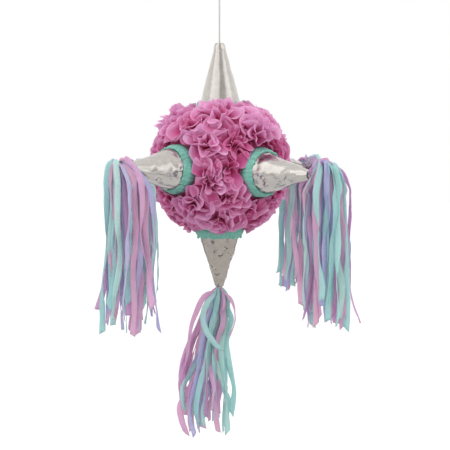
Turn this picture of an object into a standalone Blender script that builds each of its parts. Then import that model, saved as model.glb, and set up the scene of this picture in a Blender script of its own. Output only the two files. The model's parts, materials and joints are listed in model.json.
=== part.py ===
"""A star pinata on its string: a tissue-covered paper ball, six foil cones with crepe collars, five tassels.

Run with: blender --background --python part.py
Metres, +Z up, -Y is the front. The origin is the point where the hanging loop bears on its hook.
"""

import math

import bmesh
import bpy
from mathutils import Matrix, Vector

# ---------------------------------------------------------------- driving dimensions
GAP = 0.0003  # between pieces that touch

BALL_CENTRE = Vector((0.0, 0.0, -0.400))
BALL_R = 0.118
BALL_WALL = 0.004
CORD_HOLE_R = 0.004
ROUND_SIDES = 24  # sides of every cone, collar and foil, so that their flats line up

RUFFLE_INNER_R = 0.1191
RUFFLE_OUTER_R = 0.1435
RUFFLE_LUMP = 0.004
RUFFLE_STEPS = 9
RUFFLE_SPLIT = 0.00035  # each field of tissue is moved out by this, which parts it from its neighbours

CONE_BASE = 0.110  # distances along a cone are measured from the centre of the ball
CONE_BASE_R = 0.0455
CONE_TIP_R = 0.0062
CONE_WALL = 0.0015
FOIL_BASE = 0.1165
FOIL_WALL = 0.0008
COLLAR_BACK = 0.1094
COLLAR_RIM = 0.1385
COLLAR_R = 0.050
COLLAR_RIM_R = 0.0435
TIE_R = 0.006
TIE_LENGTH = 0.0037

# turn about Z in degrees, tilt above the horizon in degrees, distance of the tip from the ball's centre
CONES = {
    "top": (0.0, 90.0, 0.262),
    "bottom": (0.0, -90.0, 0.242),
    "front_left": (225.0, 2.0, 0.257),
    "front_right": (315.0, -1.0, 0.257),
    "back_left": (135.0, 0.0, 0.257),
    "back_right": (45.0, 0.0, 0.257),
}

# how far a tassel's hinge is beyond the cone's tip, how far the strips reach below it, and their half width
TASSELS = {
    "front_left": (0.0208, 0.329, 0.046),
    "front_right": (0.036, 0.304, 0.054),
    "back_left": (0.0208, 0.285, 0.046),
    "back_right": (0.0208, 0.275, 0.046),
    "bottom": (0.018, 0.294, 0.062),
}
TASSEL_HEAD_R = 0.0135
BOTTOM_TASSEL_LEAN = 0.033  # the bottom tassel's strips drift this far to the left
TASSEL_LOCKS = 9
LOCK_POINTS = 4

CORD_R = 0.00175
CORD_SPACING = 0.0087
LOOP_R = 0.009
LOOP_TAPER_DEG = 18.0  # the loop's legs leave its round top this far past level
LOOP_FOOT = -0.030
KNOT_R = 0.006
KNOT_Z = LOOP_FOOT - KNOT_R - GAP

DOWEL_R = 0.004
DOWEL_HALF = 0.032
DOWEL_Z = 0.1048  # above the ball's centre
ANCHOR_KNOT_R = 0.008
ANCHOR_KNOT_HALF = 0.006

FLAP_ELEVATION_DEG = 35.0
FLAP_HALF_WIDTH = 0.036
FLAP_HALF_HEIGHT = 0.034
FLAP_CLEARANCE = 0.0005
TAPE_HALF_WIDTH = 0.028
TAPE_WALL = 0.0006
TAPE_INNER_R = BALL_R + GAP
TAPE_UPPER = (0.0352, 0.0438)  # reach of each half of the tape, up the ball from the flap's middle
TAPE_LOWER = (0.0272, 0.0326)
VALLEY_ABOVE_DEG = (23.05, 30.0)  # foot of the tissue above the hinge, and the lean of its face
VALLEY_BELOW_DEG = (12.75, -5.0)


# ---------------------------------------------------------------- helpers
def clear_scene():
    for old in list(bpy.data.objects):
        bpy.data.objects.remove(old, do_unlink=True)


def material(name, colour, roughness, metallic=0.0):
    found = bpy.data.materials.get(name)
    if found:
        return found
    made = bpy.data.materials.new(name)
    made.use_nodes = True
    shader = made.node_tree.nodes["Principled BSDF"]
    shader.inputs["Base Color"].default_value = (*colour, 1.0)
    shader.inputs["Roughness"].default_value = roughness
    shader.inputs["Metallic"].default_value = metallic
    return made


def paper_card():
    return material("paper_card", (0.62, 0.50, 0.36), 0.9)


def orchid_tissue():
    return material("orchid_tissue", (0.72, 0.24, 0.52), 0.8)


def mint_crepe():
    return material("mint_crepe", (0.36, 0.72, 0.60), 0.8)


def silver_foil():
    return material("silver_foil", (0.80, 0.78, 0.74), 0.25, 1.0)


def tassel_tissue():
    return material("tassel_tissue", (0.58, 0.45, 0.66), 0.8)


def grey_cord():
    return material("grey_cord", (0.72, 0.72, 0.70), 0.8)


def bare_wood():
    return material("bare_wood", (0.70, 0.55, 0.36), 0.7)


def kraft_tape():
    return material("kraft_tape", (0.66, 0.52, 0.34), 0.5)


def add_object(name, mesh_builder, look, frame):
    """A named object from a bmesh, with its normals facing out."""
    bmesh.ops.recalc_face_normals(mesh_builder, faces=mesh_builder.faces)
    mesh = bpy.data.meshes.new(name)
    mesh_builder.to_mesh(mesh)
    mesh_builder.free()
    made = bpy.data.objects.new(name, mesh)
    made.matrix_world = frame
    bpy.context.scene.collection.objects.link(made)
    if look:
        mesh.materials.append(look)
    return made


def smooth(made, degrees=40.0):
    made.data.shade_smooth()
    made.data.set_sharp_from_angle(angle=math.radians(degrees))
    return made


def as_cutter(made):
    made.hide_render = True
    made.display_type = "WIRE"
    return made


def add_boolean(made, operation, cutter):
    modifier = made.modifiers.new(f"{operation.lower()} {cutter.name}", "BOOLEAN")
    modifier.operation = operation
    modifier.solver = "EXACT"
    modifier.object = cutter


def turned(name, profile, look, frame, sides=ROUND_SIDES):
    """A solid turned about its own Z. The profile is a closed outline of (radius, height) points."""
    builder = bmesh.new()
    rings = []
    for radius, height in profile:
        if radius == 0.0:
            rings.append([builder.verts.new((0.0, 0.0, height))] * sides)
            continue
        turns = (2 * math.pi * k / sides for k in range(sides))
        rings.append([builder.verts.new((radius * math.cos(t), radius * math.sin(t), height)) for t in turns])
    for first, second in zip(rings, rings[1:] + rings[:1]):
        for k in range(sides):
            after = (k + 1) % sides
            corners = [first[k], first[after], second[after], second[k]]
            corners = [c for n, c in enumerate(corners) if c not in corners[:n]]
            if len(corners) > 2:
                builder.faces.new(corners)
    return smooth(add_object(name, builder, look, frame))


def ball_frame():
    return Matrix.Translation(BALL_CENTRE)


def cone_direction(which):
    turn, tilt, _ = CONES[which]
    turn, tilt = math.radians(turn), math.radians(tilt)
    return Vector((math.cos(tilt) * math.cos(turn), math.cos(tilt) * math.sin(turn), math.sin(tilt)))


def cone_frame(which):
    """The ball's centre, with +Z out along the cone."""
    turn = cone_direction(which).to_track_quat("Z", "Y").to_matrix().to_4x4()
    return ball_frame() @ turn


def core_radius(along, tip):
    share = (along - CONE_BASE) / (tip - CONE_BASE)
    return CONE_BASE_R + share * (CONE_TIP_R - CONE_BASE_R)


def foil_radius(along, tip):
    return core_radius(along, tip) + GAP + FOIL_WALL


# ---------------------------------------------------------------- the string and what it is tied to
def hanging_loop():
    """A teardrop of string: a round top, and two legs that come together at the knot."""
    taper = math.radians(LOOP_TAPER_DEG)
    middle = Vector((0.0, 0.0, CORD_R - LOOP_R))
    arc = [-taper + (math.pi + 2 * taper) * k / 14 for k in range(15)]
    route = [middle + LOOP_R * Vector((math.cos(t), 0.0, math.sin(t))) for t in arc]
    fall = route[0].z - LOOP_FOOT
    foot = route[0] + Vector((-math.tan(taper) * fall, 0.0, -fall))
    leg = [foot.lerp(route[0], k / 3) for k in range(3)]
    mirrored = [Vector((-p.x, p.y, p.z)) for p in reversed(leg)]
    return cord_tube("hanging_loop", leg + route + mirrored)


def cord_tube(name, route):
    curve = bpy.data.curves.new(name, "CURVE")
    curve.dimensions = "3D"
    curve.bevel_depth = CORD_R
    curve.bevel_resolution = 2
    curve.use_fill_caps = True
    spline = curve.splines.new("POLY")
    spline.points.add(len(route) - 1)
    for point, place in zip(spline.points, route):
        point.co = (*place, 1.0)
    curve.materials.append(grey_cord())
    made = bpy.data.objects.new(name, curve)
    bpy.context.scene.collection.objects.link(made)
    return made


def hanging_cord():
    """The taut string, from under the loop's knot down to the knot on the dowel."""
    top = KNOT_Z - KNOT_R - GAP
    bottom = BALL_CENTRE.z + DOWEL_Z + ANCHOR_KNOT_R + GAP
    steps = round((top - bottom) / CORD_SPACING)
    cord_tube("hanging_cord", [Vector((0.0, 0.0, top + (bottom - top) * k / steps)) for k in range(steps + 1)])


def loop_knot():
    builder = bmesh.new()
    bmesh.ops.create_uvsphere(builder, u_segments=14, v_segments=9, radius=KNOT_R)
    smooth(add_object("loop_knot", builder, grey_cord(), Matrix.Translation((0.0, 0.0, KNOT_Z))), 180.0)


def anchor():
    """A dowel across the inside of the ball's top, and the wraps of string tied round it."""
    across = ball_frame() @ Matrix.Translation((0.0, 0.0, DOWEL_Z)) @ Matrix.Rotation(math.pi / 2, 4, "Y")
    bevel = 0.0006
    dowel = [(0.0, -DOWEL_HALF), (DOWEL_R - bevel, -DOWEL_HALF), (DOWEL_R, -DOWEL_HALF + bevel)]
    dowel += [(radius, -height) for radius, height in reversed(dowel)]
    turned("anchor_dowel", dowel, bare_wood(), across, sides=16)
    inner, shoulder = DOWEL_R + GAP, ANCHOR_KNOT_R - 0.0015
    knot = [(inner, -ANCHOR_KNOT_HALF), (shoulder, -ANCHOR_KNOT_HALF), (ANCHOR_KNOT_R, -ANCHOR_KNOT_HALF / 2)]
    knot += [(radius, -height) for radius, height in reversed(knot)]
    turned("anchor_knot", knot, grey_cord(), across, sides=16)


# ---------------------------------------------------------------- the ball and its flap
def flap_axes():
    """Across the flap, out of the ball through its middle, and up the ball."""
    lift = math.radians(FLAP_ELEVATION_DEG)
    out = Vector((0.0, math.cos(lift), math.sin(lift)))
    return Vector((1.0, 0.0, 0.0)), out, Vector((0.0, -math.sin(lift), math.cos(lift)))


def flap_prism(name, outline, half_width):
    """A prism across the flap, from an outline of (out, up) points."""
    across, out, up = flap_axes()
    builder = bmesh.new()
    ends = [
        [builder.verts.new(side * half_width * across + o * out + u * up) for o, u in outline]
        for side in (-1, 1)
    ]
    builder.faces.new(ends[0])
    builder.faces.new(list(reversed(ends[1])))
    for k in range(len(outline)):
        after = (k + 1) % len(outline)
        builder.faces.new((ends[0][k], ends[0][after], ends[1][after], ends[1][k]))
    return as_cutter(add_object(name, builder, None, ball_frame()))


def flap_hinge_place():
    """The middle of the hinge: on the ball's outside, at the upper edge of the hole."""
    _, out, up = flap_axes()
    height = math.sqrt(BALL_R**2 - FLAP_HALF_HEIGHT**2)
    return BALL_CENTRE + height * out + FLAP_HALF_HEIGHT * up


def move_origin(made, place):
    """Moves an object's origin without moving its mesh, before it gets any modifier."""
    made.data.transform(Matrix.Translation(made.matrix_world.translation - place))
    made.matrix_world = Matrix.Translation(place)


def shell_blank(name):
    """The whole hollow ball, with the string's hole at its top."""
    inner_r = BALL_R - BALL_WALL
    rings = 14
    outer, inner = [], []
    for radius, profile in ((BALL_R, outer), (inner_r, inner)):
        start = math.asin(CORD_HOLE_R / radius)
        for k in range(rings + 1):
            angle = start + (math.pi - start) * k / rings
            last = k == rings
            profile.append((0.0 if last else radius * math.sin(angle), radius * math.cos(angle)))
    return turned(name, outer + inner[::-1], paper_card(), ball_frame(), sides=32)


def flap_outline(shrink):
    low, high = -FLAP_HALF_HEIGHT + shrink, FLAP_HALF_HEIGHT - shrink
    near, far = 0.5 * BALL_R, 1.2 * BALL_R
    return [(near, low), (far, low), (far, high), (near, high)]


def ball_and_flap():
    shell = shell_blank("ball_shell")
    add_boolean(shell, "DIFFERENCE", flap_prism("fill_hole_cutter", flap_outline(0.0), FLAP_HALF_WIDTH))
    flap = shell_blank("fill_flap")
    move_origin(flap, flap_hinge_place())
    keep = flap_prism("fill_flap_keeper", flap_outline(FLAP_CLEARANCE), FLAP_HALF_WIDTH - FLAP_CLEARANCE)
    add_boolean(flap, "INTERSECT", keep)


def tape_half(name, reach):
    """Half of the tape, bent to the ball on both sides of its thickness."""
    across, out, up = flap_axes()
    steps = 4
    builder = bmesh.new()
    layers = []
    for radius in (TAPE_INNER_R, TAPE_INNER_R + TAPE_WALL):
        layer = {}
        for i in range(steps + 1):
            for j in range(2):
                x = TAPE_HALF_WIDTH * (2 * i / steps - 1)
                layer[i, j] = builder.verts.new(
                    x * across + reach[j] * up + math.sqrt(radius**2 - x**2 - reach[j] ** 2) * out
                )
        layers.append(layer)
    below, above = layers
    for layer in layers:
        for i in range(steps):
            builder.faces.new((layer[i, 0], layer[i + 1, 0], layer[i + 1, 1], layer[i, 1]))
    for i in range(steps):
        for j in range(2):
            builder.faces.new((below[i, j], below[i + 1, j], above[i + 1, j], above[i, j]))
    for i in (0, steps):
        builder.faces.new((below[i, 0], below[i, 1], above[i, 1], above[i, 0]))
    return add_object(name, builder, kraft_tape(), ball_frame())


# ---------------------------------------------------------------- cones, foil and collars
def cone_core(which):
    tip = CONES[which][2] - FOIL_WALL - GAP
    wall = CONE_WALL
    profile = [(CONE_BASE_R, CONE_BASE), (CONE_TIP_R, tip), (CONE_TIP_R - wall, tip), (CONE_BASE_R - wall, CONE_BASE)]
    turned(f"cone_core_{which}", profile, paper_card(), cone_frame(which))


def cone_foil(which):
    """The foil is folded over the tip: shut, or round the string on the top cone."""
    tip = CONES[which][2]
    hole = CORD_R + 2 * GAP if which == "top" else 0.0
    under = tip - FOIL_WALL
    inside = core_radius(FOIL_BASE, tip) + GAP
    profile = [(hole, tip), (foil_radius(tip, tip) - 0.001, tip), (foil_radius(tip, tip), tip - 0.001)]
    profile += [(foil_radius(FOIL_BASE, tip), FOIL_BASE), (inside, FOIL_BASE)]
    profile += [(core_radius(under, tip) + GAP, under), (hole, under)]
    turned(f"cone_foil_{which}", profile, silver_foil(), cone_frame(which))


def collar(which):
    """A puffed band of crepe, its back on the ball and its front rim gathered on the foil."""
    tip = CONES[which][2]
    step = FOIL_BASE - GAP
    over_foil = foil_radius(FOIL_BASE, tip) + GAP
    profile = [(0.0492, COLLAR_BACK), (COLLAR_R, 0.118), (0.0488, 0.130), (0.0462, 0.1365)]
    profile += [(COLLAR_RIM_R, COLLAR_RIM), (foil_radius(COLLAR_RIM, tip) + GAP, COLLAR_RIM)]
    profile += [(over_foil, step), (CONE_BASE_R + GAP, step), (CONE_BASE_R + GAP, COLLAR_BACK)]
    turned(f"collar_{which}", profile, mint_crepe(), cone_frame(which))


def collar_cutter(which):
    """Clears the tissue round a collar."""
    radius = COLLAR_R + 2 * GAP
    profile = [(0.0, 0.09), (radius, 0.09), (radius, 0.17), (0.0, 0.17)]
    return as_cutter(turned(f"collar_cutter_{which}", profile, None, cone_frame(which)))


# ---------------------------------------------------------------- the gathered tissue
def lump(direction):
    """The tissue's outside is lumpy: it stands a little proud and a little low."""
    waves = math.sin(14 * direction.x + 1) * math.sin(14 * direction.y + 2) * math.sin(14 * direction.z + 3)
    return RUFFLE_LUMP * waves


def ruffle_field(name, corners, origin):
    """One eighth of the ball's tissue, between three cones: a thick curved triangle."""
    out = sum(corners, Vector()).normalized()
    builder = bmesh.new()
    layers = []
    for inner in (True, False):
        layer = {}
        for i in range(RUFFLE_STEPS + 1):
            for j in range(RUFFLE_STEPS + 1 - i):
                k = RUFFLE_STEPS - i - j
                # sines space the points evenly along the curved edges
                shares = [math.sin(0.5 * math.pi * n / RUFFLE_STEPS) for n in (i, j, k)]
                direction = sum((s * c for s, c in zip(shares, corners)), Vector()).normalized()
                radius = RUFFLE_INNER_R if inner else RUFFLE_OUTER_R + lump(direction)
                layer[i, j] = builder.verts.new(radius * direction)
        layers.append(layer)
        for i in range(RUFFLE_STEPS):
            for j in range(RUFFLE_STEPS - i):
                builder.faces.new((layer[i, j], layer[i + 1, j], layer[i, j + 1]))
                if j < RUFFLE_STEPS - i - 1:
                    builder.faces.new((layer[i + 1, j], layer[i + 1, j + 1], layer[i, j + 1]))
    below, above = layers
    last = RUFFLE_STEPS
    for n in range(last):
        edges = (((n, 0), (n + 1, 0)), ((0, n), (0, n + 1)), ((n, last - n), (n + 1, last - n - 1)))
        for first, second in edges:
            builder.faces.new((below[first], below[second], above[second], above[first]))
    made = add_object(name, builder, orchid_tissue(), Matrix.Translation(BALL_CENTRE + RUFFLE_SPLIT * out))
    move_origin(made, origin)
    return smooth(made)


def valley_line(foot_deg, lean_deg, reach):
    """A point on the tissue's cut face beside the hinge, this far out from the face's foot."""
    foot, lean = math.radians(foot_deg), math.radians(lean_deg)
    return (
        BALL_R * math.cos(foot) + reach * math.cos(lean),
        BALL_R * math.sin(foot) + reach * math.sin(lean),
    )


def tissue_outline(low, valley_deg):
    """What the flap's tissue takes up, in (out, up) points, with a leaning face beside the hinge."""
    near, far = 0.85 * BALL_R, 1.4 * BALL_R
    return [(near, low), (far, low), valley_line(*valley_deg, 0.055), valley_line(*valley_deg, -0.012)]


def ruffles():
    turns = {"front": 270.0, "right": 0.0, "back": 90.0, "left": 180.0}
    cutters = {which: collar_cutter(which) for which in CONES}
    sides = {"front": ("front_left", "front_right"), "back": ("back_left", "back_right")}
    sides |= {"left": ("front_left", "back_left"), "right": ("front_right", "back_right")}
    hole = flap_prism(
        "flap_tissue_cutter", tissue_outline(-FLAP_HALF_HEIGHT - FLAP_CLEARANCE, VALLEY_ABOVE_DEG),
        FLAP_HALF_WIDTH + FLAP_CLEARANCE,
    )
    keep = flap_prism(
        "flap_tissue_keeper", tissue_outline(-FLAP_HALF_HEIGHT, VALLEY_BELOW_DEG), FLAP_HALF_WIDTH
    )
    for level, pole in (("upper", 1.0), ("lower", -1.0)):
        for side, turn in turns.items():
            edges = [math.radians(turn + 45.0 * k) for k in (-1, 1)]
            corners = [Vector((0.0, 0.0, pole))] + [Vector((math.cos(t), math.sin(t), 0.0)) for t in edges]
            field = ruffle_field(f"ruffle_{level}_{side}", corners, BALL_CENTRE)
            for which in ("top" if level == "upper" else "bottom", *sides[side]):
                add_boolean(field, "DIFFERENCE", cutters[which])
            if (level, side) == ("upper", "back"):
                add_boolean(field, "DIFFERENCE", hole)
                on_flap = ruffle_field("ruffle_flap", corners, flap_hinge_place())
                add_boolean(on_flap, "INTERSECT", keep)


# ---------------------------------------------------------------- tassels
def tassel_tie(which):
    """Thread bound round the neck of the strips, just outside the cone's tip."""
    start = CONES[which][2] + GAP
    profile = [(0.0, start), (TIE_R - 0.001, start), (TIE_R, start + 0.001)]
    profile += [(TIE_R - 0.0005, start + TIE_LENGTH), (0.0, start + TIE_LENGTH)]
    turned(f"tassel_tie_{which}", profile, tassel_tissue(), cone_frame(which), sides=12)


def tassel_hinge_frame(which):
    """The tassel's hinge, with X pointing away from the ball and Z up. The bottom tassel's X is the row's X."""
    tip = BALL_CENTRE + CONES[which][2] * cone_direction(which)
    beyond = TASSELS[which][0]
    if which == "bottom":
        return Matrix.Translation(tip - Vector((0.0, 0.0, beyond)))
    turn = math.radians(CONES[which][0])
    out = Vector((math.cos(turn), math.sin(turn), 0.0))
    return Matrix.Translation(tip + beyond * out) @ Matrix.Rotation(turn, 4, "Z")


def tassel_sections(which):
    """(height, half width, drift in X, depth of the clefts between locks), from the head down."""
    _, length, full = TASSELS[which]
    head = TASSEL_HEAD_R
    rows = [(head * math.sin(a), head * math.cos(a), 0.0, 0.0) for a in (1.1, 0.6, 0.0)]
    rows.append((-0.014, head - 0.0005, 0.0, 0.1))
    lean = -BOTTOM_TASSEL_LEAN if which == "bottom" else 0.0
    spread = ((0.10, 0.48, 0.15), (0.20, 0.78, 0.25), (0.33, 0.92, 0.3), (0.60, 1.0, 0.35), (0.86, 1.0, 0.35))
    rows += [(-share * length, wide * full, lean * share, cleft) for share, wide, cleft in spread]
    rows.append((-length, 0.88 * full, lean, 0.35))
    return rows


def tassel(which):
    """Strips bunched at the head, spreading downwards into locks with clefts between them."""
    points = TASSEL_LOCKS * LOCK_POINTS
    builder = bmesh.new()
    rings = []
    for height, wide, drift, cleft in tassel_sections(which):
        ring = []
        for k in range(points):
            turn = 2 * math.pi * k / points
            radius = wide * (1 - cleft * 0.5 * (1 - math.cos(TASSEL_LOCKS * turn)))
            ring.append(builder.verts.new((drift + radius * math.cos(turn), radius * math.sin(turn), height)))
        rings.append(ring)
    for upper, lower in zip(rings, rings[1:]):
        for k in range(points):
            after = (k + 1) % points
            builder.faces.new((upper[k], upper[after], lower[after], lower[k]))
    for ring, height in ((rings[0], TASSEL_HEAD_R), (rings[-1], -TASSELS[which][1])):
        middle = sum((v.co for v in ring), Vector()) / points
        pole = builder.verts.new((middle.x, middle.y, height))
        for k in range(points):
            builder.faces.new((ring[k], ring[(k + 1) % points], pole))
    smooth(add_object(f"tassel_{which}", builder, tassel_tissue(), tassel_hinge_frame(which)))


# ---------------------------------------------------------------- the whole object
def build():
    clear_scene()
    hanging_loop()
    loop_knot()
    hanging_cord()
    anchor()
    ball_and_flap()
    tape_half("flap_tape_upper", TAPE_UPPER)
    move_origin(tape_half("flap_tape_lower", TAPE_LOWER), flap_hinge_place())
    ruffles()
    for which in CONES:
        cone_core(which)
        cone_foil(which)
        collar(which)
    for which in TASSELS:
        tassel_tie(which)
        tassel(which)


build()
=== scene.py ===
"""The looks of a star pinata: tissue, crepe collars, foil cones, tassels of strips and a twisted string.

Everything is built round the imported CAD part, in its frame: metres, +Z up, -Y is the front.
"""

import json
import math

import bpy
import numpy as np
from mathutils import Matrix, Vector


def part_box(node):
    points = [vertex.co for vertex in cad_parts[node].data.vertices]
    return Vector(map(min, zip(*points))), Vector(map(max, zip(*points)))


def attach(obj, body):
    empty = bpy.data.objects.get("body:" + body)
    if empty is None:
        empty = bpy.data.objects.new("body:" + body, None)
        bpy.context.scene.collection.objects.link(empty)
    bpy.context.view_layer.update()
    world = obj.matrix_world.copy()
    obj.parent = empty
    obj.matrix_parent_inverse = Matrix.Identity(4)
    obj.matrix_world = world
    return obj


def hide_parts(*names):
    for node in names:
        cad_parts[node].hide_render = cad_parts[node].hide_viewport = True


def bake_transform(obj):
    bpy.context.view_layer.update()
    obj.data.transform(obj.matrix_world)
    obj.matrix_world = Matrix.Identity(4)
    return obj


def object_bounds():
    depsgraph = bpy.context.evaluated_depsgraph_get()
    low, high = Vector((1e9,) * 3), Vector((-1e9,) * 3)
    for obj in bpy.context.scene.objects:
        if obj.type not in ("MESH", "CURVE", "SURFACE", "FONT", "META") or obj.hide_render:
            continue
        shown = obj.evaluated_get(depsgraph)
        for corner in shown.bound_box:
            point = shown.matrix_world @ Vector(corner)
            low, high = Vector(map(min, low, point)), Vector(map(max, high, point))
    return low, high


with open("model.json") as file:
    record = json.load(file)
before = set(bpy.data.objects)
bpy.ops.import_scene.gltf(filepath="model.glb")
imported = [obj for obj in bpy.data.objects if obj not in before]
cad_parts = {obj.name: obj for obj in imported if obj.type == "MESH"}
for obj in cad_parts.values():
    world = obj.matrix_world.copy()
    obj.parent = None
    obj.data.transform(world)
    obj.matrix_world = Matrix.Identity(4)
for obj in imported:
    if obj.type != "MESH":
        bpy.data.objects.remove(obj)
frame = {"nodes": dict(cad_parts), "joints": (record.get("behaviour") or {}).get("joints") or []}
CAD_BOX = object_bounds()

# ------------------------ what the frame says
CONES = ("top", "bottom", "front_left", "front_right", "back_left", "back_right")
SIDE_CONES = CONES[2:]
TASSELS = CONES[1:]
SIDES = {"front": 270.0, "right": 0.0, "back": 90.0, "left": 180.0}


def node_points(node):
    return np.array([v.co for v in frame["nodes"][node].data.vertices])


def unit(v):
    return v / np.linalg.norm(v, axis=-1, keepdims=True)


def box_middle(node):
    low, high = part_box(node)
    return np.array((low + high) / 2)


def joint_place(name):
    return np.array(next(j["pos_m"] for j in frame["joints"] if j["name"] == name))


BALL = box_middle("ball_shell")
BALL_R = float(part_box("ball_shell")[1].x)
RIGHT, BACK, UP = np.eye(3)


class Cone:
    """A cone's axis and radii, read from its foil. X and Y lie across it, and Y is as high as it can be."""

    def __init__(self, which):
        points = node_points(f"cone_foil_{which}") - BALL
        self.axis = unit(points.mean(0))
        along = points @ self.axis
        away = np.linalg.norm(points - np.outer(along, self.axis), axis=1)
        self.base, self.tip = along.min(), along.max()
        self.base_r = away[along < self.base + 1e-4].max()
        self.tip_r = away[along > self.tip - 2e-3].max()
        upright = abs(self.axis[2]) > 0.9
        self.y = -BACK if upright else unit(UP - self.axis[2] * self.axis)
        self.x = np.cross(self.y, self.axis)

    def radius(self, along):
        return self.base_r + (self.tip_r - self.base_r) * (along - self.base) / (self.tip - self.base)

    def place(self, radius, turn, along):
        """Points at this radius, turn from X towards Y, and distance along the axis."""
        across = np.cos(turn)[..., None] * self.x + np.sin(turn)[..., None] * self.y
        return BALL + radius[..., None] * across + along[..., None] * self.axis


CONE = {which: Cone(which) for which in CONES}

# ------------------------ grids into meshes
class Grids:
    """Gathers grids of points into one mesh, each with a material and some values for its points."""

    def __init__(self):
        self.points, self.faces, self.looks, self.values, self.count = [], [], [], {}, 0

    def add(self, points, look=0, ring=False, tube=False, caps=False, **values):
        """points is (rows, columns, 3). ring joins the last column to the first, and tube the last row."""
        rows, columns = points.shape[:2]
        index = self.count + np.arange(rows * columns).reshape(rows, columns)
        if caps:
            self.faces += [index[0, ::-1].tolist(), index[-1].tolist()]
            self.looks += [look, look]
        if ring:
            index = np.concatenate([index, index[:, :1]], 1)
        if tube:
            index = np.concatenate([index, index[:1]], 0)
        quads = np.stack([index[:-1, :-1], index[:-1, 1:], index[1:, 1:], index[1:, :-1]], -1)
        quads = quads.reshape(-1, 4).tolist()
        self.faces += quads
        self.looks += [look] * len(quads)
        self.points.append(points.reshape(-1, 3))
        for key, value in values.items():
            self.values.setdefault(key, []).append(np.broadcast_to(value, (rows, columns)).ravel())
        self.count += rows * columns

    def build(self, name, *looks):
        mesh = bpy.data.meshes.new(name)
        mesh.from_pydata(np.concatenate(self.points).tolist(), [], self.faces)
        for look in looks:
            mesh.materials.append(look)
        mesh.polygons.foreach_set("material_index", self.looks)
        for key, parts in self.values.items():
            layer = mesh.attributes.new(key, "FLOAT", "POINT")
            layer.data.foreach_set("value", np.concatenate(parts).astype(np.float32))
        mesh.shade_smooth()
        made = bpy.data.objects.new(name, mesh)
        bpy.context.scene.collection.objects.link(made)
        return made


def run_along(route):
    """How far along the route each of its points is."""
    return np.concatenate([[0], np.cumsum(np.linalg.norm(np.diff(route, axis=0), axis=1))])


def smooth_route(points, step):
    """A Catmull-Rom curve through the points, with a point about every step."""
    points = np.asarray(points, float)
    padded = np.concatenate([[2 * points[0] - points[1]], points, [2 * points[-1] - points[-2]]])
    t = np.linspace(0, 1, 24, endpoint=False)[:, None]
    fine = []
    for a, b, c, d in zip(padded, padded[1:], padded[2:], padded[3:]):
        square, cube = 2 * a - 5 * b + 4 * c - d, 3 * b - a - 3 * c + d
        fine.append(0.5 * (2 * b + (c - a) * t + square * t**2 + cube * t**3))
    fine = np.concatenate([*fine, points[-1:]])
    run = run_along(fine)
    wanted = np.linspace(0, run[-1], max(2, round(run[-1] / step) + 1))
    return np.stack([np.interp(wanted, run, fine[:, k]) for k in range(3)], 1)


def route_frames(route, side):
    """The route's directions, and two directions across it that don't spin, starting near side."""
    ahead = unit(np.gradient(route, axis=0))
    across = []
    for direction in ahead:
        side = unit(side - (side @ direction) * direction)
        across.append(side)
    across = np.array(across)
    return ahead, across, np.cross(ahead, across)


def around(count):
    """Even turns round a ring."""
    return 2 * math.pi * np.arange(count) / count


def tube(route, side, radius):
    """Rings of points round a route. radius has a row for each of its points and a column for each side."""
    _, across, beside = route_frames(route, side)
    turn = around(radius.shape[1])[:, None]
    ring = np.cos(turn) * across[:, None] + np.sin(turn) * beside[:, None]
    return route[:, None] + radius[..., None] * ring


def waves(rng, at, lengths, height=1.0):
    """A smooth random curve over at, made of waves of these lengths."""
    total = np.zeros_like(at, dtype=float)
    for length in lengths:
        total += np.sin(2 * math.pi * at / length + rng.uniform(0, 2 * math.pi)) / len(lengths)
    return height * total


# ------------------------ materials
def srgb(red, green, blue):
    """A linear colour from the 0 to 255 values that a screen would show."""
    def linear(v):
        v /= 255
        return v / 12.92 if v <= 0.04045 else ((v + 0.055) / 1.055) ** 2.4
    return linear(red), linear(green), linear(blue), 1.0


class Nodes:
    """A node tree whose nodes are added one call at a time."""

    def __init__(self, tree):
        self.tree = tree

    def node(self, kind, inputs=None, **settings):
        node = self.tree.nodes.new(kind)
        for key, value in settings.items():
            setattr(node, key, value)
        for key, value in (inputs or {}).items():
            self.put(node, key, value)
        return node

    def put(self, node, key, value):
        if isinstance(value, bpy.types.NodeSocket):
            self.tree.links.new(value, node.inputs[key])
        else:
            node.inputs[key].default_value = value

    def maths(self, operation, a, b):
        return self.node("ShaderNodeMath", {0: a, 1: b}, operation=operation).outputs[0]

    def times(self, a, b):
        return self.maths("MULTIPLY", a, b)

    def least(self, a, b):
        return self.maths("MINIMUM", a, b)

    def add(self, a, b, share=1.0):
        """a, and this share of b."""
        return self.maths("ADD", a, b if share == 1.0 else self.times(b, share))

    def ramp(self, factor, *stops):
        """A colour by the factor. Each stop is a place from 0 to 1, and a colour or a grey level."""
        node = self.node("ShaderNodeValToRGB", {"Fac": factor})
        elements = node.color_ramp.elements
        while len(elements) < len(stops):
            elements.new(0.5)
        for element, (at, colour) in zip(elements, stops):
            element.position = at
            element.color = colour if hasattr(colour, "__len__") else (colour, colour, colour, 1.0)
        return node.outputs["Color"]

    def mix(self, factor, a, b, blend="MIX"):
        inputs = {0: factor, 6: a, 7: b}
        return self.node("ShaderNodeMix", inputs, data_type="RGBA", blend_type=blend).outputs[2]


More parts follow.
